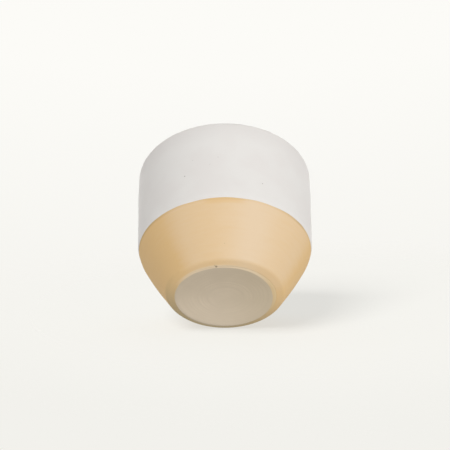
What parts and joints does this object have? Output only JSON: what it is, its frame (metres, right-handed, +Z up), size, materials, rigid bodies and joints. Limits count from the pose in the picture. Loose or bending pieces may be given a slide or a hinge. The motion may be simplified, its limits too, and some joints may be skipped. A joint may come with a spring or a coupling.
{
  "type": "mug",
  "caption": "Handleless stoneware mug: tapered lower half in yellow slip, near-straight upper wall and inside in white glaze, rounded lip and a flat bare-clay foot.",
  "frame": {"origin": "middle of the flat foot, on the surface the mug stands on", "axes": "+Z up along the mug's axis, towards the lip; the mug is round, so X and Y are free"},
  "size_m": [0.0884, 0.0884, 0.075],
  "materials": {
    "stoneware": "bare fired stoneware, matt, with faint turning rings",
    "white_glaze": "satin white glaze with a few iron specks",
    "yellow_slip": "matt buff-yellow slip"
  },
  "bodies": {
    "root": {"clay_body": "stoneware", "white_glaze": "white_glaze", "liner_glaze": "white_glaze", "yellow_slip": "yellow_slip"}
  },
  "joints": []
}
